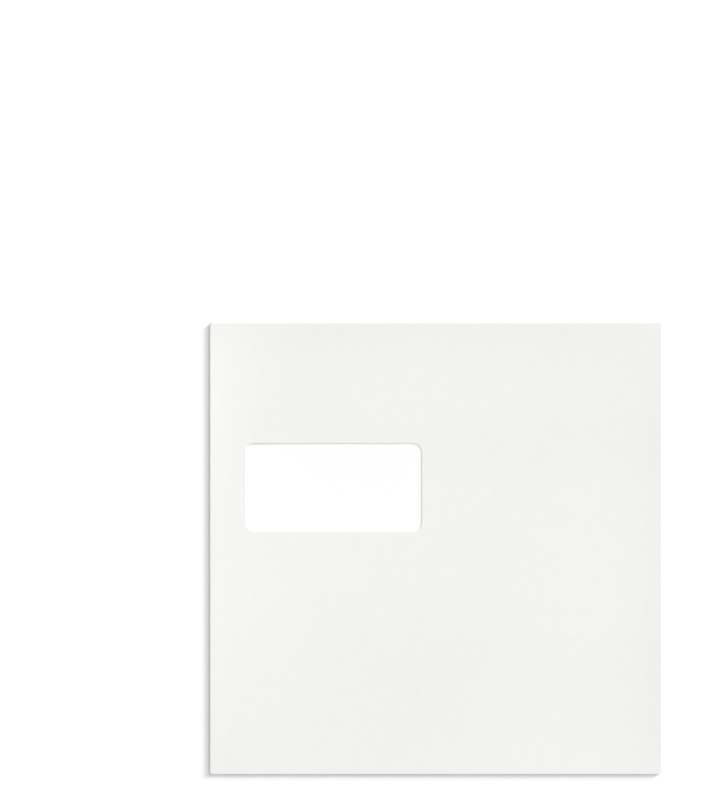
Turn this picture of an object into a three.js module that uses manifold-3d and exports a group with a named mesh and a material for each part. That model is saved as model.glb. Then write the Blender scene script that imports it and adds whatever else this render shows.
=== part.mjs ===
// A square window envelope, lying on a table with its window side up.
//
// The envelope is one die-cut sheet of white paper. Two side flaps are folded in behind
// the front panel, the back panel is folded up over them and glued to them along two
// seams, and a gummed seal flap is folded shut underneath without being stuck down.
// A clear pane is glued behind the window.
//
// All sizes are millimetres. X runs across the envelope and Y runs up its face, towards
// the fold of the seal flap. +Z is the side with the window. The origin is on the table,
// under the middle of the envelope. Left and right are as seen from the window side.

import * as THREE from "three";
import { mergeVertices } from "three/addons/utils/BufferGeometryUtils.js";
import Module from "manifold-3d";

// The body and its paper, a sheet of 120 grams to the square metre
const bodyWidth = 230;
const bodyHeight = 230;
const paper = 0.15;

// The folds: the open space inside each side fold, and how far each crease stops short
// of the body's corners
const sideFoldGap = 0.55;
const cornerRelief = 1;

// The window, its place on the front panel, and the pane glued behind it
const windowWidth = 90;
const windowHeight = 45;
const windowFromLeft = 18;
const windowFromTop = 61.5;
const windowCorner = 4.5;
const paneThickness = 0.04;
const paneMargin = 9;
const paneGlueThickness = 0.02;
const paneGlueFromWindow = 2;
const paneGlueFromPaneEdge = 1;

// The side flaps: the left one ends in straight slants, the right one in quarter ellipses
const leftFlapWidth = 19.4;
const leftFlapSlant = THREE.MathUtils.degToRad(24.5);
const leftFlapCorner = 2.5;
const rightFlapWidth = 16.5;
const rightFlapTaper = 13.6;

// The back panel: how far its top edge lies below the top fold, how far its sides lie in
// from the side folds, the slanted shoulders at its foot and the round corners at its top
const throatDepth = 15.4;
const backInset = 3.2;
const backShoulder = 2.5;
const backCorner = 2.3;

// The two glue seams between the side flaps and the back panel
const seamWidth = 9;
const seamFromBackEdge = 0.8;
const seamFromBottom = 9;
const seamFromThroat = 4;
const seamThickness = 0.05;

// The seal flap: straight shoulders by the fold, slanted sides and round corners
const sealDepth = 40;
const sealShoulder = 3;
const sealInset = 12.75;
const sealCorner = 3.4;
const sealAirGap = 0.25;

// The strip of dried gum on the seal flap's inner face
const gumThickness = 0.03;
const gumWidth = 17.5;
const gumFromFreeEdge = 1;
const gumFromSides = 3;
const gumCorner = 1.5;

// How finely curves are cut into straight steps
const foldSteps = 6;
const cornerSteps = 6;

// Heights of the layers, from the table up
const gumBottom = paper;
const gumTop = gumBottom + gumThickness;
const backBottom = gumTop + sealAirGap;
const backTop = backBottom + paper;
const sideBottom = backTop + seamThickness;
const sideTop = sideBottom + paper;
const frontBottom = sideTop + sideFoldGap;
const frontTop = frontBottom + paper;

// Each fold is half a turn, so its outside radius is half the height that it joins
const sideFoldRadius = (frontTop - sideBottom) / 2;
const bottomFoldRadius = (frontTop - backBottom) / 2;
const topFoldRadius = frontTop / 2;

// Where the flat panels end and the folds begin, and where the folds' ends are
const sideLine = bodyWidth / 2 - sideFoldRadius;
const topLine = bodyHeight / 2 - topFoldRadius;
const bottomLine = -bodyHeight / 2 + bottomFoldRadius;
const foldEndX = bodyWidth / 2 - cornerRelief;
const foldEndY = bodyHeight / 2 - cornerRelief;

// The window's edges on the front panel
const windowLeft = -bodyWidth / 2 + windowFromLeft;
const windowRight = windowLeft + windowWidth;
const windowTop = bodyHeight / 2 - windowFromTop;
const windowBottom = windowTop - windowHeight;

const wasm = await Module();
wasm.setup();

const paperFinish = new THREE.MeshStandardMaterial({
  name: "white paper",
  color: 0xf3f3ef,
  roughness: 0.85,
  metalness: 0,
});
const filmFinish = new THREE.MeshStandardMaterial({
  name: "clear film",
  color: 0xf8fbfb,
  roughness: 0.12,
  metalness: 0,
  transparent: true,
  opacity: 0.3,
});
const glueFinish = new THREE.MeshStandardMaterial({
  name: "dried white glue",
  color: 0xf1efe4,
  roughness: 0.5,
  metalness: 0,
});
const gumFinish = new THREE.MeshStandardMaterial({
  name: "dried gum",
  color: 0xeeeddf,
  roughness: 0.4,
  metalness: 0,
});

// A closed outline through corners listed anticlockwise as [x, y, radius]. A corner with
// no radius is sharp.
function outline(corners) {
  const points = corners.flatMap(([x, y, radius = 0], index) => {
    const corner = new THREE.Vector2(x, y);
    if (radius === 0) {
      return [corner];
    }
    const [previousX, previousY] = corners.at(index - 1);
    const [nextX, nextY] = corners[(index + 1) % corners.length];
    const back = new THREE.Vector2(previousX, previousY).sub(corner).normalize();
    const ahead = new THREE.Vector2(nextX, nextY).sub(corner).normalize();
    const halfAngle = Math.acos(back.dot(ahead)) / 2;
    const toCentre = back.clone().add(ahead).setLength(radius / Math.sin(halfAngle));
    const centre = corner.clone().add(toCentre);
    const setback = radius / Math.tan(halfAngle);
    const start = corner.clone().addScaledVector(back, setback).sub(centre).angle();
    const end = corner.clone().addScaledVector(ahead, setback).sub(centre).angle();
    const arc = new THREE.EllipseCurve(centre.x, centre.y, radius, radius, start, end, false, 0);
    return arc.getPoints(cornerSteps);
  });
  return new THREE.Shape(points);
}

// A rectangle with its four corners rounded to one radius
function rectangle(left, bottom, right, top, radius = 0) {
  return outline([
    [left, bottom, radius],
    [right, bottom, radius],
    [right, top, radius],
    [left, top, radius],
  ]);
}

// A flat layer of the given outline, with its underside at the given height
function layer(shape, bottom, thickness) {
  const geometry = new THREE.ExtrudeGeometry(shape, {
    depth: thickness,
    bevelEnabled: false,
    curveSegments: cornerSteps,
  });
  return geometry.translate(0, 0, bottom);
}

// A rolled fold: half a ring of paper that joins a panel whose underside is at the height
// low to one whose top face is at the height high. It bulges in the outward direction
// from the line where both panels end, and it is centred on the body along that line.
function rolledFold(outward, line, halfLength, low, high) {
  const radius = (high - low) / 2;
  const section = new THREE.Shape();
  section.absarc(0, low + radius, radius, -Math.PI / 2, Math.PI / 2, false);
  section.absarc(0, low + radius, radius - paper, Math.PI / 2, -Math.PI / 2, true);
  const geometry = new THREE.ExtrudeGeometry(section, {
    depth: 2 * halfLength,
    bevelEnabled: false,
    curveSegments: foldSteps,
  });
  const up = new THREE.Vector3(0, 0, 1);
  const along = outward.clone().cross(up);
  const start = outward.clone().multiplyScalar(line).addScaledVector(along, -halfLength);
  const placing = new THREE.Matrix4().makeBasis(outward, up, along).setPosition(start);
  return geometry.applyMatrix4(placing);
}

function toSolid(geometry) {
  const bare = geometry.clone();
  bare.deleteAttribute("normal");
  bare.deleteAttribute("uv");
  const merged = mergeVertices(bare);
  const mesh = new wasm.Mesh({
    numProp: 3,
    vertProperties: new Float32Array(merged.attributes.position.array),
    triVerts: new Uint32Array(merged.index.array),
  });
  return new wasm.Manifold(mesh);
}

function toGeometry(solid) {
  const { vertProperties, triVerts } = solid.getMesh();
  const indexed = new THREE.BufferGeometry();
  indexed.setAttribute("position", new THREE.BufferAttribute(vertProperties, 3));
  indexed.setIndex(new THREE.BufferAttribute(triVerts, 1));
  const geometry = indexed.toNonIndexed();
  geometry.computeVertexNormals();
  return geometry;
}

function joined(geometries) {
  const solids = geometries.map(toSolid);
  return toGeometry(solids.reduce((whole, solid) => whole.add(solid)));
}

function named(name, geometry, material) {
  const mesh = new THREE.Mesh(geometry, material);
  mesh.name = name;
  return mesh;
}

// The front panel, with the window cut out of it
function frontPanel() {
  const shape = rectangle(-sideLine, bottomLine, sideLine, topLine);
  shape.holes.push(rectangle(windowLeft, windowBottom, windowRight, windowTop, windowCorner));
  return layer(shape, frontBottom, paper);
}

// The left side flap, which narrows in a straight slant at both ends
function leftFlap() {
  const freeEdge = -bodyWidth / 2 + leftFlapWidth;
  const slantDrop = (freeEdge + sideLine) * Math.tan(leftFlapSlant);
  const shape = outline([
    [-sideLine, -foldEndY],
    [freeEdge, -foldEndY + slantDrop, leftFlapCorner],
    [freeEdge, foldEndY - slantDrop, leftFlapCorner],
    [-sideLine, foldEndY],
  ]);
  return layer(shape, sideBottom, paper);
}

// The right side flap, which ends in a quarter ellipse at the top and at the bottom
function rightFlap() {
  const reach = rightFlapWidth - sideFoldRadius;
  const centreY = foldEndY - rightFlapTaper;
  const shape = new THREE.Shape();
  shape.absellipse(sideLine, centreY, reach, rightFlapTaper, Math.PI / 2, Math.PI, false, 0);
  shape.absellipse(sideLine, -centreY, reach, rightFlapTaper, Math.PI, 1.5 * Math.PI, false, 0);
  return layer(shape, sideBottom, paper);
}

// The back panel, folded up from the bottom over both side flaps
function backPanel() {
  const side = bodyWidth / 2 - backInset;
  const top = bodyHeight / 2 - throatDepth;
  const shape = outline([
    [-foldEndX, bottomLine],
    [foldEndX, bottomLine],
    [side, bottomLine + backShoulder],
    [side, top, backCorner],
    [-side, top, backCorner],
    [-side, bottomLine + backShoulder],
  ]);
  return layer(shape, backBottom, paper);
}

// The seal flap, folded under the body from the top
function sealFlap() {
  const freeEdge = bodyHeight / 2 - sealDepth;
  const freeHalfWidth = bodyWidth / 2 - sealInset;
  const shoulder = bodyHeight / 2 - sealShoulder;
  const shape = outline([
    [-foldEndX, topLine],
    [-foldEndX, shoulder],
    [-freeHalfWidth, freeEdge, sealCorner],
    [freeHalfWidth, freeEdge, sealCorner],
    [foldEndX, shoulder],
    [foldEndX, topLine],
  ]);
  return layer(shape, 0, paper);
}

// The whole sheet: five panels and the four folds between them
function envelopeSheet() {
  const left = new THREE.Vector3(-1, 0, 0);
  const right = new THREE.Vector3(1, 0, 0);
  const top = new THREE.Vector3(0, 1, 0);
  const bottom = new THREE.Vector3(0, -1, 0);
  const geometry = joined([
    frontPanel(),
    rolledFold(left, sideLine, foldEndY, sideBottom, frontTop),
    leftFlap(),
    rolledFold(right, sideLine, foldEndY, sideBottom, frontTop),
    rightFlap(),
    rolledFold(bottom, -bottomLine, foldEndX, backBottom, frontTop),
    backPanel(),
    rolledFold(top, topLine, foldEndX, 0, frontTop),
    sealFlap(),
  ]);
  return named("envelope_sheet", geometry, paperFinish);
}

// The clear pane, which overlaps the window all round
function windowPane() {
  const shape = rectangle(
    windowLeft - paneMargin,
    windowBottom - paneMargin,
    windowRight + paneMargin,
    windowTop + paneMargin,
  );
  const bottom = frontBottom - paneGlueThickness - paneThickness;
  return named("window_pane", layer(shape, bottom, paneThickness), filmFinish);
}

// The frame of glue that holds the pane to the front panel
function paneGlue() {
  const outer = paneMargin - paneGlueFromPaneEdge;
  const inner = paneGlueFromWindow;
  const shape = rectangle(
    windowLeft - outer,
    windowBottom - outer,
    windowRight + outer,
    windowTop + outer,
  );
  const opening = rectangle(
    windowLeft - inner,
    windowBottom - inner,
    windowRight + inner,
    windowTop + inner,
    windowCorner + inner,
  );
  shape.holes.push(opening);
  const bottom = frontBottom - paneGlueThickness;
  return named("pane_glue", layer(shape, bottom, paneGlueThickness), glueFinish);
}

// A band of glue between a side flap and the back panel. Side is -1 on the left, 1 on the right.
function seamGlue(name, side) {
  const outer = side * (bodyWidth / 2 - backInset - seamFromBackEdge);
  const inner = outer - side * seamWidth;
  const shape = rectangle(
    Math.min(inner, outer),
    -bodyHeight / 2 + seamFromBottom,
    Math.max(inner, outer),
    bodyHeight / 2 - throatDepth - seamFromThroat,
  );
  return named(name, layer(shape, backTop, seamThickness), glueFinish);
}

// The gum on the inner face of the seal flap, along its free edge
function flapGum() {
  const halfLength = bodyWidth / 2 - sealInset - gumFromSides;
  const bottom = bodyHeight / 2 - sealDepth + gumFromFreeEdge;
  const shape = rectangle(-halfLength, bottom, halfLength, bottom + gumWidth, gumCorner);
  return named("flap_gum", layer(shape, gumBottom, gumThickness), gumFinish);
}

const envelope = new THREE.Group();
envelope.name = "window_envelope";
envelope.add(
  envelopeSheet(),
  windowPane(),
  paneGlue(),
  seamGlue("left_seam_glue", -1),
  seamGlue("right_seam_glue", 1),
  flapGum(),
);

export default envelope;
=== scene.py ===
import math

import bmesh
import bpy
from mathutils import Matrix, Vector, noise


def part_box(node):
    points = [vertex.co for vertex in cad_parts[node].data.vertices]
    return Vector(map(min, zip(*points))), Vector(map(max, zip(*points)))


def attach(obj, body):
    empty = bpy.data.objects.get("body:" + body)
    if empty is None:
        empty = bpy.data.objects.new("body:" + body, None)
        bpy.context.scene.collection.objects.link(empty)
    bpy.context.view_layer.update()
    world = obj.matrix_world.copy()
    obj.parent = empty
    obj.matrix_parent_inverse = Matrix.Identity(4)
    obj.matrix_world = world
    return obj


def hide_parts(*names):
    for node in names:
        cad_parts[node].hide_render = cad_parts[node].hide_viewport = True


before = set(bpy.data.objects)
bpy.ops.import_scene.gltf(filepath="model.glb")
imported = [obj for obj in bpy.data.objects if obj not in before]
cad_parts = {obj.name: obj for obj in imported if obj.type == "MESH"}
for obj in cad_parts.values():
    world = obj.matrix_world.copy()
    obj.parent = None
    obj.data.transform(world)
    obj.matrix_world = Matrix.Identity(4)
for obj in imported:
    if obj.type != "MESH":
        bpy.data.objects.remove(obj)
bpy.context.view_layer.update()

# The sheet. One die-cut blank of white uncoated paper, 120 grams to the square metre,
# white inked on its inner side. The side flaps are creased and folded in, the back panel
# is folded up over them, and the gummed flap is folded shut underneath.

MM = 0.001


def node_span(node_name):
    """The lowest and highest corner of a CAD node, in millimetres."""
    low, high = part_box(node_name)
    return Vector(low) / MM, Vector(high) / MM


_, sheet_high = node_span("envelope_sheet")
gum_low, gum_high = node_span("flap_gum")
seam_low, seam_high = node_span("left_seam_glue")
pane_low, pane_high = node_span("window_pane")

# The folded sheet's half sizes, the paper's thickness and the heights of its layers. The
# gum lies on the seal flap, and the seam glue between the back panel and a side flap.
half_width = sheet_high.x
half_height = sheet_high.y
paper = gum_low.z
front_top = sheet_high.z
back_top = seam_low.z
back_bottom = back_top - paper
side_bottom = seam_high.z
side_top = side_bottom + paper

# Where the flat panels end and the folds begin, and where the creases stop
side_line = half_width - (front_top - side_bottom) / 2
bottom_line = -half_height + (front_top - back_bottom) / 2
top_line = half_height - front_top / 2
corner_relief = 1.0
fold_end_x = half_width - corner_relief
fold_end_y = half_height - corner_relief

# The window, inside the pane's glued margin
pane_margin = 9.0
window_corner = 4.5
window_left = pane_low.x + pane_margin
window_right = pane_high.x - pane_margin
window_bottom = pane_low.y + pane_margin
window_top = pane_high.y - pane_margin
window_middle = (window_left + window_right) / 2

# The flaps, the back panel and the white inked field on the inside of the seal flap
left_flap_width = 19.4
left_flap_slant = math.radians(24.5)
left_flap_corner = 2.5
right_flap_width = 16.5
right_flap_taper = 13.6
throat_y = half_height - 15.4
back_half = half_width - 3.2
back_shoulder = 2.5
back_corner = 2.3
seal_free_y = half_height - 40.0
seal_half = half_width - 12.75
seal_shoulder_y = half_height - 3.0
seal_corner = 3.4
ink_free_y = seal_free_y + 20.4
ink_half_at_free = half_width - 17.5
ink_half_at_fold = half_width - 8.5

corner_steps = 8
crease_steps = 4
paper_pitch = 2.5
cut_tolerance = 0.0005
weld_distance = 0.001


def rounded(corners):
    """The outline through (x, y, radius) corners, with each rounded one cut into steps."""
    outline = []
    for index, (x, y, radius) in enumerate(corners):
        corner = Vector((x, y))
        if radius == 0:
            outline.append(corner)
            continue
        back = (Vector(corners[index - 1][:2]) - corner).normalized()
        ahead = (Vector(corners[(index + 1) % len(corners)][:2]) - corner).normalized()
        half_angle = math.acos(back.dot(ahead)) / 2
        setback = radius / math.tan(half_angle)
        centre = corner + (back + ahead).normalized() * (radius / math.sin(half_angle))
        start = corner + back * setback - centre
        end = corner + ahead * setback - centre
        first = math.atan2(start.y, start.x)
        turn = (math.atan2(end.y, end.x) - first + math.pi) % (2 * math.pi) - math.pi
        for step in range(corner_steps + 1):
            angle = first + turn * step / corner_steps
            outline.append(centre + Vector((math.cos(angle), math.sin(angle))) * radius)
    return outline


def places(start, end, pitch):
    """Evenly spaced places from start to end, about a pitch apart."""
    count = max(round(abs(end - start) / pitch), 1)
    return [start + (end - start) * step / count for step in range(count + 1)]


def cut_grid(mesh, x_places, y_places):
    """Cuts a flat mesh along straight lines, so that it can bend."""
    for direction, line in [((1, 0, 0), x_places), ((0, 1, 0), y_places)]:
        for place in line:
            bmesh.ops.bisect_plane(
                mesh,
                geom=mesh.verts[:] + mesh.edges[:] + mesh.faces[:],
                plane_co=Vector(direction) * place,
                plane_no=direction,
                dist=cut_tolerance,
            )


# The blank is drawn flat, as it was cut. It is the front panel, with each flap laid out
# past its crease by the length of paper that the crease takes up. A crease is pressed, so
# the paper runs flat to its edge, turns sharply down, and turns sharply back.
crease_corner = 0.2
crease_arc = crease_corner * math.pi / 2
side_depth = (front_top - side_bottom - paper) / 2
bottom_depth = (front_top - back_bottom - paper) / 2
top_depth = (front_top - paper) / 2


def crease_length(depth):
    """The paper in a fold that is twice depth high, at the middle of its thickness."""
    return 4 * (depth - crease_corner) + 2 * crease_arc


def crease_cuts(depth):
    """The places along a fold where the paper has to bend."""
    flat = depth - crease_corner
    first = places(flat, flat + crease_arc, crease_arc / crease_steps)
    second = places(3 * flat + crease_arc, 3 * flat + 2 * crease_arc, crease_arc / crease_steps)
    return [0, *first, *second, crease_length(depth)]


def unfolded_side(x):
    """How far out a place on a folded side flap lies in the flat blank."""
    return side_line + crease_length(side_depth) + side_line - x


def unfolded_bottom(y):
    """How far down a place on the folded back panel lies in the flat blank."""
    return bottom_line - crease_length(bottom_depth) - (y - bottom_line)


def unfolded_top(y):
    """How far up a place on the folded seal flap lies in the flat blank."""
    return top_line + crease_length(top_depth) + top_line - y


def half_blank(side, window_edge, flap_corners):
    """Half of the blank, cut apart at the window's middle. Side is -1 or 1."""
    corners = [
        (window_middle, unfolded_bottom(throat_y), 0),
        (side * back_half, unfolded_bottom(throat_y), back_corner),
        (side * back_half, unfolded_bottom(bottom_line + back_shoulder), 0),
        (side * fold_end_x, unfolded_bottom(bottom_line), 0),
        (side * fold_end_x, bottom_line, 0),
        (side * side_line, bottom_line, 0),
        (side * side_line, -fold_end_y, 0),
        *flap_corners,
        (side * side_line, fold_end_y, 0),
        (side * side_line, top_line, 0),
        (side * fold_end_x, top_line, 0),
        (side * fold_end_x, unfolded_top(seal_shoulder_y), 0),
        (side * seal_half, unfolded_top(seal_free_y), seal_corner),
        (window_middle, unfolded_top(seal_free_y), 0),
        (window_middle, window_top, 0),
        (window_edge, window_top, window_corner),
        (window_edge, window_bottom, window_corner),
        (window_middle, window_bottom, 0),
    ]
    if side < 0:
        corners.reverse()
    return rounded(corners)


left_free = half_width - left_flap_width
left_drop = (side_line - left_free) * math.tan(left_flap_slant)
left_flap = [
    (-unfolded_side(side_line), -fold_end_y, 0),
    (-unfolded_side(left_free), -fold_end_y + left_drop, left_flap_corner),
    (-unfolded_side(left_free), fold_end_y - left_drop, left_flap_corner),
    (-unfolded_side(side_line), fold_end_y, 0),
]

right_free = half_width - right_flap_width
right_flap = []
for end in (-1, 1):
    for step in range(corner_steps + 1):
        angle = math.pi / 2 * (step / corner_steps if end > 0 else 1 - step / corner_steps)
        across = unfolded_side(side_line) + (side_line - right_free) * math.cos(angle)
        along = end * (fold_end_y - right_flap_taper + right_flap_taper * math.sin(angle))
        right_flap.append((across, along, 0))

blank = bmesh.new()
for outline in (
    half_blank(-1, window_left, left_flap),
    half_blank(1, window_right, right_flap),
):
    blank.faces.new([blank.verts.new((point.x, point.y, 0)) for point in outline])
bmesh.ops.remove_doubles(blank, verts=blank.verts[:], dist=weld_distance)

# The white ink ends in a straight line beside the gum, and in two slanted ones
ink_slant = (ink_half_at_fold - ink_half_at_free) / (top_line - ink_free_y)
for side in (-1, 1):
    bmesh.ops.bisect_plane(
        blank,
        geom=blank.verts[:] + blank.edges[:] + blank.faces[:],
        plane_co=(side * ink_half_at_fold, unfolded_top(top_line), 0),
        plane_no=(side, ink_slant, 0),
        dist=cut_tolerance,
    )

side_cuts = [side_line + cut for cut in crease_cuts(side_depth)]
side_cuts += places(side_cuts[-1], unfolded_side(left_free), paper_pitch)[1:]
bottom_cuts = [bottom_line - cut for cut in crease_cuts(bottom_depth)]
bottom_cuts += places(bottom_cuts[-1], unfolded_bottom(throat_y), paper_pitch)[1:]
top_cuts = [top_line + cut for cut in crease_cuts(top_depth)]
top_cuts += places(top_cuts[-1], unfolded_top(seal_free_y), paper_pitch)[1:]
across_cuts = places(-side_line, side_line, paper_pitch)
across_cuts += side_cuts
across_cuts += [-cut for cut in side_cuts]
along_cuts = places(bottom_line, top_line, paper_pitch)
along_cuts += bottom_cuts
along_cuts += top_cuts
along_cuts.append(unfolded_top(ink_free_y))
cut_grid(blank, across_cuts, along_cuts)

# A shell has three materials: its upper side, its under side and its cut edges. The sheet
# has two such sets, and the faces that the ink leaves bare take the second.
set_size = 3
edge_in_set = 2
for face in blank.faces:
    x, y, _ = face.calc_center_median()
    ink_half = ink_half_at_fold - ink_slant * (y - unfolded_top(top_line))
    if y > unfolded_top(top_line) and (y > unfolded_top(ink_free_y) or abs(x) > ink_half):
        face.material_index = set_size


def turned(past_line, depth):
    """How far out and how far down paper lies that goes past_line beyond a crease."""
    flat = depth - crease_corner
    if past_line < flat:
        return past_line, 0
    past_line -= flat
    if past_line < crease_arc:
        angle = past_line / crease_corner
        return flat + crease_corner * math.sin(angle), crease_corner * (1 - math.cos(angle))
    past_line -= crease_arc
    if past_line < 2 * flat:
        return depth, crease_corner + past_line
    past_line -= 2 * flat
    if past_line < crease_arc:
        angle = past_line / crease_corner
        return flat + crease_corner * math.cos(angle), crease_corner * (1 + math.sin(angle)) + 2 * flat
    return flat + crease_arc - past_line, 2 * depth


def folded(across, along):
    """Where a point of the flat blank lies once the blank is folded."""
    level = front_top - paper / 2
    if abs(across) > side_line:
        out, down = turned(abs(across) - side_line, side_depth)
        return Vector((math.copysign(side_line + out, across), along, level - down))
    if along > top_line:
        out, down = turned(along - top_line, top_depth)
        return Vector((across, top_line + out, level - down))
    if along < bottom_line:
        out, down = turned(bottom_line - along, bottom_depth)
        return Vector((across, bottom_line - out, level - down))
    return Vector((across, along, level))


# The paper relaxes from the CAD model's level layers. Clear of the seal flap the body
# comes down to the table, but for its left and lower edges, which curl up a little. The
# front panel sags between its folds, almost on to the back panel.
table_gap = 0.02
drop_length = 45.0
curl_length = 55.0
sag_depth = 0.66
sag_reach = 15.0
wave_height = 0.02
wave_length = 38.0


def ease(value):
    """Goes smoothly from 0 to 1 as the value does, and stays level before and after."""
    value = min(max(value, 0.0), 1.0)
    return value * value * (3 - 2 * value)


def relaxed(point):
    """Where a point of the level CAD layers comes to rest."""
    above_flap = ease((point.z - gum_high.z) / (back_bottom - gum_high.z))
    drop = (back_bottom - table_gap) * ease((seal_free_y - point.y) / drop_length)
    drop *= ease((half_width + point.x) / curl_length) * ease((half_height + point.y) / curl_length)
    in_front = ease((point.z - side_top) / (pane_low.z - side_top))
    spread = 1.0
    for distance in (side_line - abs(point.x), top_line - point.y, point.y - bottom_line):
        spread *= 1 - math.exp(-max(distance, 0.0) / sag_reach)
    wave = noise.noise(Vector((point.x / wave_length, point.y / wave_length, 0.0)))
    sag = (sag_depth + wave_height * wave) * spread
    return Vector((point.x, point.y, point.z - above_flap * drop - in_front * sag))


for vert in blank.verts:
    vert.co = relaxed(folded(vert.co.x, vert.co.y)) * MM


def hex_colour(code):
    """An sRGB hex colour as linear RGBA."""
    channels = [int(code[start : start + 2], 16) / 255 for start in (0, 2, 4)]
    linear = [c / 12.92 if c <= 0.04045 else ((c + 0.055) / 1.055) ** 2.4 for c in channels]
    return (*linear, 1.0)


def add_node(material, kind, inputs=None, ramp=None, **settings):
    """Adds a shader node. An input that is another node's output is linked."""
    node = material.node_tree.nodes.new(kind)
    for name, value in settings.items():
        setattr(node, name, value)
    for name, value in (inputs or {}).items():
        if isinstance(value, bpy.types.NodeSocket):
            material.node_tree.links.new(value, node.inputs[name])
        else:
            node.inputs[name].default_value = value
    if ramp:
        stops = node.color_ramp.elements
        stops[0].position = ramp[0][0]
        stops[1].position = ramp[-1][0]
        for position, code in ramp[1:-1]:
            stops.new(position)
        for stop, (position, code) in zip(stops, ramp):
            stop.color = hex_colour(code)
    return node


def new_material(name):
    """A material with no nodes in it yet."""
    material = bpy.data.materials.new(name)
    material.use_nodes = True
    material.node_tree.nodes.clear()
    return material


def finish_surface(material, surface):
    """Makes a shader node the surface of its material."""
    add_node(material, "ShaderNodeOutputMaterial", {"Surface": surface.outputs[0]})


# Uncoated wove paper: matt all over, faintly cloudy where the fibres lie thicker, with a
# grain that runs up the envelope. Fibres are 0.02 mm wide, which is far finer than a
# pixel, so the grain and the tooth are drawn as coarse as they need to be to show.
cloud_size = 5.0
grain_width = 0.9
grain_length = 9.0
tooth_size = 0.35

wove_paper = new_material("uncoated_wove_paper")
place = add_node(wove_paper, "ShaderNodeTexCoord").outputs["Object"]
clouds = add_node(
    wove_paper, "ShaderNodeTexNoise", {"Vector": place, "Scale": 1 / (cloud_size * MM), "Detail": 3.0}
)
grain_scale = (1 / (grain_width * MM), 1 / (grain_length * MM), 1 / (grain_width * MM))
along_grain = add_node(wove_paper, "ShaderNodeMapping", {"Vector": place, "Scale": grain_scale})
grain = add_node(
    wove_paper, "ShaderNodeTexNoise", {"Vector": along_grain.outputs[0], "Scale": 1.0, "Detail": 2.0}
)
tooth = add_node(
    wove_paper, "ShaderNodeTexNoise", {"Vector": place, "Scale": 1 / (tooth_size * MM), "Detail": 4.0}
)
density = add_node(
    wove_paper, "ShaderNodeMath", {0: clouds.outputs["Fac"], 1: grain.outputs["Fac"]}, operation="ADD"
)
formation = add_node(
    wove_paper,
    "ShaderNodeMapRange",
    {"Value": density.outputs[0], "From Min": 0.4, "From Max": 1.6, "To Min": 0.965, "To Max": 1.0},
)

# The tone drifts slowly over the sheet. It is greenish at the top and neutral at the
# foot, with painted shade that darkens the foot. Painted light makes it lightest at the upper left
# corner.
painted_light_corner = (-0.9, 0.42, 0.0)
painted_light_reach = 150.0
spot = add_node(wove_paper, "ShaderNodeSeparateXYZ", {"Vector": place})
toward_painted_light = add_node(
    wove_paper, "ShaderNodeVectorMath", {0: place, 1: painted_light_corner}, operation="DOT_PRODUCT"
)


def across_sheet(socket, first, last, ramp):
    """A colour that drifts from one place to another along an axis, in millimetres."""
    share = add_node(
        wove_paper,
        "ShaderNodeMapRange",
        {"Value": socket, "From Min": first * MM, "From Max": last * MM},
    )
    return add_node(wove_paper, "ShaderNodeValToRGB", {"Fac": share.outputs[0]}, ramp=ramp)


def multiplied(colour, other):
    """One colour seen through another."""
    return add_node(
        wove_paper,
        "ShaderNodeVectorMath",
        {0: colour.outputs[0], 1: other.outputs[0]},
        operation="MULTIPLY",
    )


# A greenish tint towards the top, and painted shade that darkens the foot
upward_tint_and_painted_shade = across_sheet(
    spot.outputs["Y"],
    -half_height,
    half_height,
    [(0.0, "F2F1EF"), (0.1, "F2F2F0"), (0.4, "F5F5F3"), (0.6, "F5F6F1"), (1.0, "F5F6F1")],
)
# Painted light: the paper is lightest towards the upper left corner
painted_light_drift = across_sheet(
    toward_painted_light.outputs["Value"],
    painted_light_reach,
    -painted_light_reach,
    [(0.05, "FFFFFF"), (0.15, "FCFCFC"), (0.35, "FDFDFD"), (0.6, "FCFCFC"), (0.8, "FEFEFE")],
)
bare_colour = multiplied(multiplied(formation, upward_tint_and_painted_shade), painted_light_drift)

# Where the back panel is glued to the side flaps, the glue shows through as a faint
# yellower band
aside = add_node(wove_paper, "ShaderNodeMath", {0: spot.outputs["X"]}, operation="ABSOLUTE")
band = across_sheet(
    aside.outputs[0],
    -seam_high.x,
    -seam_low.x,
    [(0.0, "FFFFFF"), (0.1, "FFFFFC"), (0.9, "FFFFFC"), (1.0, "FFFFFF")],
)
below = add_node(
    wove_paper, "ShaderNodeMath", {0: spot.outputs["Z"], 1: back_bottom * MM}, operation="LESS_THAN"
)
banded_colour = multiplied(bare_colour, band)
paper_colour = add_node(
    wove_paper,
    "ShaderNodeMix",
    {0: below.outputs[0], 6: bare_colour.outputs[0], 7: banded_colour.outputs[0]},
    data_type="RGBA",
)
paper_relief = add_node(
    wove_paper,
    "ShaderNodeBump",
    {"Height": tooth.outputs["Fac"], "Strength": 0.25, "Distance": 0.02 * MM},
)
paper_roughness = add_node(
    wove_paper,
    "ShaderNodeMapRange",
    {"Value": clouds.outputs["Fac"], "To Min": 0.8, "To Max": 0.92},
)
finish_surface(
    wove_paper,
    add_node(
        wove_paper,
        "ShaderNodeBsdfPrincipled",
        {
            "Base Color": paper_colour.outputs[2],
            "Roughness": paper_roughness.outputs[0],
            "Normal": paper_relief.outputs[0],
            "IOR": 1.5,
            "Specular IOR Level": 0.25,
        },
    ),
)

# Opaque white ink, printed flat on the inner side: whiter than the paper and a touch
# smoother, with the faint mottle of a flexographic plate.
mottle_size = 1.4

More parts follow.
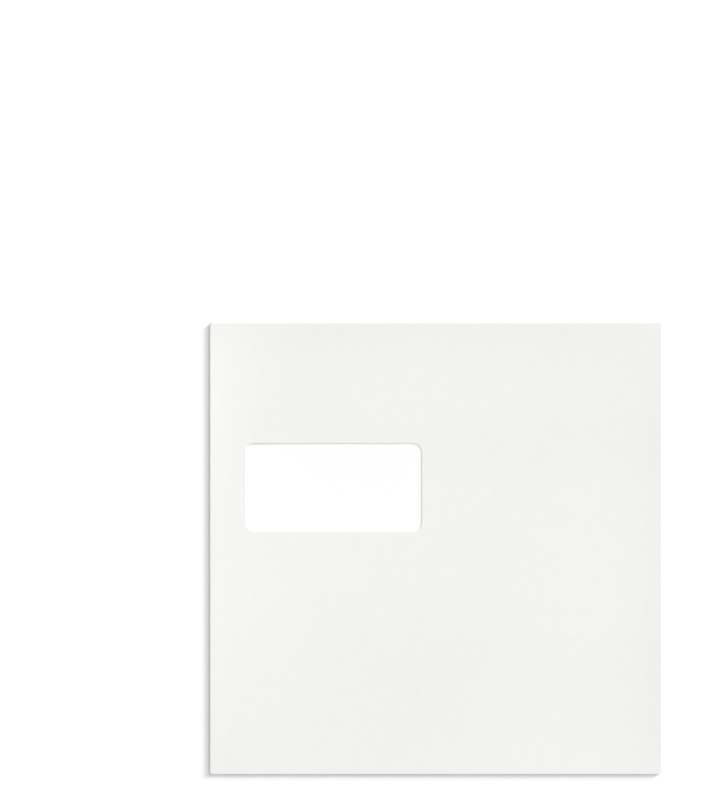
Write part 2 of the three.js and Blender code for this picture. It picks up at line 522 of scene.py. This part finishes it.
white_ink = new_material("opaque_white_ink")
place = add_node(white_ink, "ShaderNodeTexCoord").outputs["Object"]
mottle = add_node(
    white_ink, "ShaderNodeTexNoise", {"Vector": place, "Scale": 1 / (mottle_size * MM), "Detail": 3.0}
)
ink_colour = add_node(
    white_ink,
    "ShaderNodeValToRGB",
    {"Fac": mottle.outputs["Fac"]},
    ramp=[(0.3, "FCFCFC"), (0.7, "FEFEFE")],
)
ink_relief = add_node(
    white_ink,
    "ShaderNodeBump",
    {"Height": mottle.outputs["Fac"], "Strength": 0.15, "Distance": 0.01 * MM},
)
finish_surface(
    white_ink,
    add_node(
        white_ink,
        "ShaderNodeBsdfPrincipled",
        {
            "Base Color": ink_colour.outputs["Color"],
            "Roughness": 0.7,
            "Normal": ink_relief.outputs[0],
            "Specular IOR Level": 0.3,
        },
    ),
)

# The cut edge of the paper: torn fibre ends left by the die, duller and rougher than
# either face.
fibre_size = 0.12

cut_edge = new_material("die_cut_edge")
place = add_node(cut_edge, "ShaderNodeTexCoord").outputs["Object"]
fibres = add_node(
    cut_edge, "ShaderNodeTexNoise", {"Vector": place, "Scale": 1 / (fibre_size * MM), "Detail": 2.0}
)
edge_colour = add_node(
    cut_edge,
    "ShaderNodeValToRGB",
    {"Fac": fibres.outputs["Fac"]},
    ramp=[(0.35, "E9E9E3"), (0.65, "F3F3EE")],
)
edge_relief = add_node(
    cut_edge,
    "ShaderNodeBump",
    {"Height": fibres.outputs["Fac"], "Strength": 0.5, "Distance": 0.03 * MM},
)
finish_surface(
    cut_edge,
    add_node(
        cut_edge,
        "ShaderNodeBsdfPrincipled",
        {
            "Base Color": edge_colour.outputs["Color"],
            "Roughness": 0.95,
            "Normal": edge_relief.outputs[0],
            "Specular IOR Level": 0.15,
        },
    ),
)


def thickened(name, middle, thickness, materials):
    """A shell about a mesh of its middle surface. The piece rides on the only body."""
    mesh = bpy.data.meshes.new(name)
    middle.to_mesh(mesh)
    middle.free()
    piece = bpy.data.objects.new(name, mesh)
    bpy.context.scene.collection.objects.link(piece)
    for material in materials:
        mesh.materials.append(material)
    shell = piece.modifiers.new("thickness", "SOLIDIFY")
    shell.thickness = thickness * MM
    shell.offset = 0
    shell.material_offset = 1
    shell.material_offset_rim = edge_in_set
    shell.use_even_offset = True
    bpy.context.view_layer.update()
    dependencies = bpy.context.evaluated_depsgraph_get()
    solid = bpy.data.meshes.new_from_object(piece.evaluated_get(dependencies))
    piece.modifiers.clear()
    piece.data = solid
    solid.name = name
    cut_edges = set()
    for face in solid.polygons:
        face.use_smooth = face.material_index % set_size != edge_in_set
        if not face.use_smooth:
            cut_edges.update(face.edge_keys)
    for edge in solid.edges:
        edge.use_edge_sharp = edge.key in cut_edges
    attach(piece, "root")
    return piece


sheet = thickened(
    "envelope_paper",
    blank,
    paper,
    [wove_paper, white_ink, cut_edge, wove_paper, wove_paper, cut_edge],
)
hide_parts("envelope_sheet")


# The window pane. A patch of clear polystyrene film, 0.04 mm thick, glued behind the
# window. It is flat but not taut, so it shines in soft shallow waves.

film_pitch = 1.5
film_wave_height = 0.015
film_wave_length = 14.0

# Clear polystyrene, rolled smooth: it mirrors the room faintly and lets the white ink
# behind it show. It hardly dims the light that falls through it, so shadow rays pass.
clear_film = new_material("clear_polystyrene_film")
place = add_node(clear_film, "ShaderNodeTexCoord").outputs["Object"]
haze = add_node(
    clear_film,
    "ShaderNodeTexNoise",
    {"Vector": place, "Scale": 1 / (film_wave_length * MM), "Detail": 2.0},
)
film_roughness = add_node(
    clear_film,
    "ShaderNodeMapRange",
    {"Value": haze.outputs["Fac"], "To Min": 0.04, "To Max": 0.09},
)
film_surface = add_node(
    clear_film,
    "ShaderNodeBsdfPrincipled",
    {
        "Base Color": hex_colour("FFFFFF"),
        "Roughness": film_roughness.outputs[0],
        "IOR": 1.59,
        "Transmission Weight": 1.0,
    },
)
open_to_lamps = add_node(clear_film, "ShaderNodeBsdfTransparent")
ray = add_node(clear_film, "ShaderNodeLightPath")
unseen_ray = add_node(
    clear_film,
    "ShaderNodeMath",
    {0: ray.outputs["Is Shadow Ray"], 1: ray.outputs["Is Diffuse Ray"]},
    operation="MAXIMUM",
)
finish_surface(
    clear_film,
    add_node(
        clear_film,
        "ShaderNodeMixShader",
        {0: unseen_ray.outputs[0], 1: film_surface.outputs[0], 2: open_to_lamps.outputs[0]},
    ),
)


def level_layer(outlines, low, high, pitch):
    """The middle of a flat layer, cut into a grid and ready to relax."""
    level = (low.z + high.z) / 2
    layer = bmesh.new()
    for outline in outlines:
        layer.faces.new([layer.verts.new((point.x, point.y, level)) for point in outline])
    bmesh.ops.remove_doubles(layer, verts=layer.verts[:], dist=weld_distance)
    cut_grid(layer, places(low.x, high.x, pitch), places(low.y, high.y, pitch))
    return layer


def rectangle(left, bottom, right, top, radius=0):
    """The outline of an upright rectangle with round corners."""
    return rounded(
        [(left, bottom, radius), (right, bottom, radius), (right, top, radius), (left, top, radius)]
    )


film = level_layer(
    [rectangle(pane_low.x, pane_low.y, pane_high.x, pane_high.y)], pane_low, pane_high, film_pitch
)
for vert in film.verts:
    inside = min(
        vert.co.x - window_left,
        window_right - vert.co.x,
        vert.co.y - window_bottom,
        window_top - vert.co.y,
    )
    ripple = noise.noise(Vector((vert.co.x, vert.co.y, film_wave_length)) / film_wave_length)
    settled = relaxed(vert.co)
    settled.z += film_wave_height * (ripple - 1) * ease(inside / film_wave_length)
    vert.co = settled * MM
pane = thickened("clear_pane", film, pane_high.z - pane_low.z, [clear_film] * set_size)
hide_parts("window_pane")


# The glue behind the window and in the two side seams. White dispersion glue, rolled on
# wet and dried to a thin, slightly shiny skin.

pane_glue_low, pane_glue_high = node_span("pane_glue")
pane_glue_from_window = 2.0
glue_pitch = 2.5
streak_length = 12.0
streak_width = 0.8

# Dried dispersion glue: yellowish white and satin, in the long streaks that the glue
# roller leaves.
dried_glue = new_material("dried_dispersion_glue")
place = add_node(dried_glue, "ShaderNodeTexCoord").outputs["Object"]
streak_scale = (1 / (streak_width * MM), 1 / (streak_length * MM), 1 / (streak_width * MM))
along_seam = add_node(dried_glue, "ShaderNodeMapping", {"Vector": place, "Scale": streak_scale})
streaks = add_node(
    dried_glue, "ShaderNodeTexNoise", {"Vector": along_seam.outputs[0], "Scale": 1.0, "Detail": 3.0}
)
glue_colour = add_node(
    dried_glue,
    "ShaderNodeValToRGB",
    {"Fac": streaks.outputs["Fac"]},
    ramp=[(0.3, "ECE9DC"), (0.7, "F3F1E8")],
)
glue_relief = add_node(
    dried_glue,
    "ShaderNodeBump",
    {"Height": streaks.outputs["Fac"], "Strength": 0.4, "Distance": 0.02 * MM},
)
finish_surface(
    dried_glue,
    add_node(
        dried_glue,
        "ShaderNodeBsdfPrincipled",
        {
            "Base Color": glue_colour.outputs["Color"],
            "Roughness": 0.45,
            "Normal": glue_relief.outputs[0],
            "IOR": 1.47,
        },
    ),
)


def half_frame(side, outer_edge, window_edge):
    """Half of the frame of glue, cut apart at the window's middle."""
    inner_edge = window_edge + side * pane_glue_from_window
    corners = [
        (window_middle, pane_glue_low.y, 0),
        (outer_edge, pane_glue_low.y, 0),
        (outer_edge, pane_glue_high.y, 0),
        (window_middle, pane_glue_high.y, 0),
        (window_middle, window_top + pane_glue_from_window, 0),
        (inner_edge, window_top + pane_glue_from_window, window_corner + pane_glue_from_window),
        (inner_edge, window_bottom - pane_glue_from_window, window_corner + pane_glue_from_window),
        (window_middle, window_bottom - pane_glue_from_window, 0),
    ]
    if side < 0:
        corners.reverse()
    return rounded(corners)


def finished_layer(name, layer, low, high, material, node_name):
    """Lets a level layer relax, gives it its thickness and puts it in its node's place."""
    for vert in layer.verts:
        vert.co = relaxed(vert.co) * MM
    piece = thickened(name, layer, high.z - low.z, [material] * set_size)
    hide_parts(node_name)


glue_frame = level_layer(
    [
        half_frame(-1, pane_glue_low.x, window_left),
        half_frame(1, pane_glue_high.x, window_right),
    ],
    pane_glue_low,
    pane_glue_high,
    glue_pitch,
)
finished_layer(
    "pane_glue_frame", glue_frame, pane_glue_low, pane_glue_high, dried_glue, "pane_glue"
)

for side_name in ("left", "right"):
    seam_node = side_name + "_seam_glue"
    low, high = node_span(seam_node)
    seam = level_layer([rectangle(low.x, low.y, high.x, high.y)], low, high, glue_pitch)
    finished_layer(side_name + "_seam_band", seam, low, high, dried_glue, seam_node)


# The gum. Dextrin gum in a yellowish coat, rolled along the free edge of the seal flap
# and dried. It is moistened to seal the envelope, and it shines more than the paper.

gum_corner = 1.5
roller_length = 25.0
roller_width = 1.2

# Dried dextrin gum: yellower and shinier than the glue, marked along its length by the
# roller.
dextrin_gum = new_material("dried_dextrin_gum")
place = add_node(dextrin_gum, "ShaderNodeTexCoord").outputs["Object"]
roller_scale = (1 / (roller_length * MM), 1 / (roller_width * MM), 1 / (roller_width * MM))
along_edge = add_node(dextrin_gum, "ShaderNodeMapping", {"Vector": place, "Scale": roller_scale})
roller_marks = add_node(
    dextrin_gum, "ShaderNodeTexNoise", {"Vector": along_edge.outputs[0], "Scale": 1.0, "Detail": 3.0}
)
gum_colour = add_node(
    dextrin_gum,
    "ShaderNodeValToRGB",
    {"Fac": roller_marks.outputs["Fac"]},
    ramp=[(0.3, "E9E6D4"), (0.7, "F0EEE0")],
)
gum_relief = add_node(
    dextrin_gum,
    "ShaderNodeBump",
    {"Height": roller_marks.outputs["Fac"], "Strength": 0.3, "Distance": 0.02 * MM},
)
finish_surface(
    dextrin_gum,
    add_node(
        dextrin_gum,
        "ShaderNodeBsdfPrincipled",
        {
            "Base Color": gum_colour.outputs["Color"],
            "Roughness": 0.35,
            "Normal": gum_relief.outputs[0],
            "IOR": 1.5,
        },
    ),
)

gum_strip = level_layer(
    [rectangle(gum_low.x, gum_low.y, gum_high.x, gum_high.y, gum_corner)],
    gum_low,
    gum_high,
    glue_pitch,
)
finished_layer("gum_strip", gum_strip, gum_low, gum_high, dextrin_gum, "flap_gum")


# The table: a plain white sheet, a hair below the envelope that lies on it. The camera
# sees it a little brighter than the lamps make it, so that it is white and still keeps
# the shadow.

table_side = 4.0
table_glow = 0.06
table_clearance = 0.01

table_mesh = bpy.data.meshes.new("table")
table_form = bmesh.new()
bmesh.ops.create_grid(table_form, x_segments=1, y_segments=1, size=table_side / 2)
table_form.to_mesh(table_mesh)
table_form.free()
table = bpy.data.objects.new("table", table_mesh)
table.location.z = -table_clearance * MM
bpy.context.scene.collection.objects.link(table)

white_table = new_material("white_table")
table_surface = add_node(
    white_table, "ShaderNodeBsdfDiffuse", {"Color": hex_colour("FDFDFD"), "Roughness": 0.0}
)
table_ray = add_node(white_table, "ShaderNodeLightPath")
table_light = add_node(
    white_table,
    "ShaderNodeMath",
    {0: table_ray.outputs["Is Camera Ray"], 1: table_glow},
    operation="MULTIPLY",
)
table_lift = add_node(
    white_table,
    "ShaderNodeEmission",
    {"Color": (1.0, 1.0, 1.0, 1.0), "Strength": table_light.outputs[0]},
)
finish_surface(
    white_table,
    add_node(
        white_table,
        "ShaderNodeAddShader",
        {0: table_surface.outputs[0], 1: table_lift.outputs[0]},
    ),
)
table.data.materials.append(white_table)


# The light: a low soft key from the right that draws the envelope's narrow shadow, a high
# and wider one that softens it, and an even white room. The room looks white to the
# camera and in reflections, and gives the rest of the light on the paper.

room_share = 0.45


def add_lamp(name, share, height, turn, width):
    """A far lamp that gives a level surface this share of the light. Angles in degrees."""
    height = math.radians(height)
    turn = math.radians(turn)
    light = bpy.data.lights.new(name, "SUN")
    light.energy = math.pi * share / math.sin(height)
    light.angle = math.radians(width)
    lamp = bpy.data.objects.new(name, light)
    level = math.cos(height)
    towards = Vector((level * math.cos(turn), level * math.sin(turn), math.sin(height)))
    lamp.rotation_euler = towards.to_track_quat("Z", "Y").to_euler()
    bpy.context.scene.collection.objects.link(lamp)


add_lamp("low_key", share=0.34, height=18, turn=35, width=24)
add_lamp("high_key", share=0.225, height=50, turn=38, width=50)

room = bpy.data.worlds.new("white_room")
room.use_nodes = True
room.node_tree.nodes.clear()
room_ray = add_node(room, "ShaderNodeLightPath")
seen_or_mirrored = add_node(
    room,
    "ShaderNodeMath",
    {0: room_ray.outputs["Is Camera Ray"], 1: room_ray.outputs["Is Glossy Ray"]},
    operation="MAXIMUM",
)
looked_at = add_node(
    room,
    "ShaderNodeMath",
    {0: seen_or_mirrored.outputs[0], 1: room_ray.outputs["Is Transmission Ray"]},
    operation="MAXIMUM",
)
room_strength = add_node(
    room,
    "ShaderNodeMapRange",
    {"Value": looked_at.outputs[0], "To Min": room_share, "To Max": 1.0},
)
room_light = add_node(
    room,
    "ShaderNodeBackground",
    {"Color": (1.0, 1.0, 1.0, 1.0), "Strength": room_strength.outputs[0]},
)
add_node(room, "ShaderNodeOutputWorld", {"Surface": room_light.outputs[0]})
bpy.context.scene.world = room


# The camera looks straight down from 1.6 metres, with a long lens. Pixels are those of
# the photograph, 720 by 800.

frame_width_px = 720
frame_height_px = 800
envelope_left_px = 209.4
envelope_right_px = 662.2
envelope_top_px = 322.9
envelope_bottom_px = 773.6
camera_height = 1.6
sensor_width_mm = 36.0

# The mean of the scales across and up the envelope. The sensor's width spans the longer
# side of the picture, which is its height.
mm_per_px = (
    half_width / (envelope_right_px - envelope_left_px)
    + half_height / (envelope_bottom_px - envelope_top_px)
)
camera = bpy.data.cameras.new("camera")
camera.sensor_width = sensor_width_mm
camera.lens = camera.sensor_width * camera_height / (frame_height_px * mm_per_px * MM)
camera_object = bpy.data.objects.new("camera", camera)
camera_object.location = (
    (frame_width_px - envelope_left_px - envelope_right_px) / 2 * mm_per_px * MM,
    (envelope_top_px + envelope_bottom_px - frame_height_px) / 2 * mm_per_px * MM,
    camera_height,
)
bpy.context.scene.collection.objects.link(camera_object)
bpy.context.scene.camera = camera_object
bpy.context.scene.view_settings.view_transform = "Standard"
